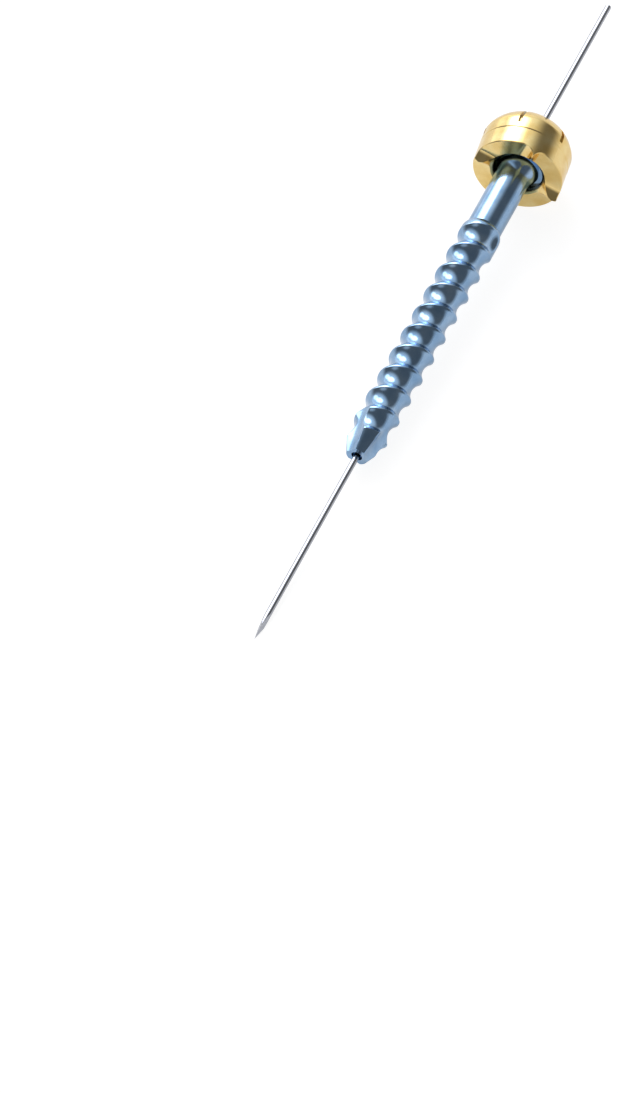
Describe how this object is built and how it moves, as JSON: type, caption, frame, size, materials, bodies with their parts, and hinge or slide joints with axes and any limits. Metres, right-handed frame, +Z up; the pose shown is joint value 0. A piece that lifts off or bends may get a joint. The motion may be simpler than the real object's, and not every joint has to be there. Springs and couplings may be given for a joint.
{
  "type": "facet screw",
  "caption": "Cannulated bone screw with a fluted tip, round-grooved thread and ball head, held in a toothed polyaxial washer and threaded over a pointed guide wire.",
  "frame": {"origin": "on the table under the middle of the whole object as it lies at rest", "axes": "+X along the wire towards the screw's head and the wire's free end, -X towards the pointed tip, +Z up from the table"},
  "size_m": [0.1094, 0.0122, 0.0116],
  "materials": {
    "blue_anodised_titanium": "polished, blue anodised",
    "gold_anodised_titanium": "polished, gold anodised",
    "polished_wire_steel": "polished"
  },
  "bodies": {
    "screw": {"screw": "blue_anodised_titanium"},
    "washer": {"washer_toothed_ring": "gold_anodised_titanium", "washer_cap_ring": "gold_anodised_titanium"},
    "wire": {"guide_wire": "polished_wire_steel"}
  },
  "joints": [
    {"name": "washer_tilt", "type": "hinge", "parent": "screw", "child": "washer", "pos_m": [0.02749, 0.00005, 0.0058], "axis": [-0.0611, 0.4462, 0.8929], "range_deg": [-23.7, 6.3]},
    {"name": "wire_slide", "type": "slide", "parent": "screw", "child": "wire", "axis": [0.9977, 0, 0.0683], "range_m": [-0.018, 0.03]}
  ]
}
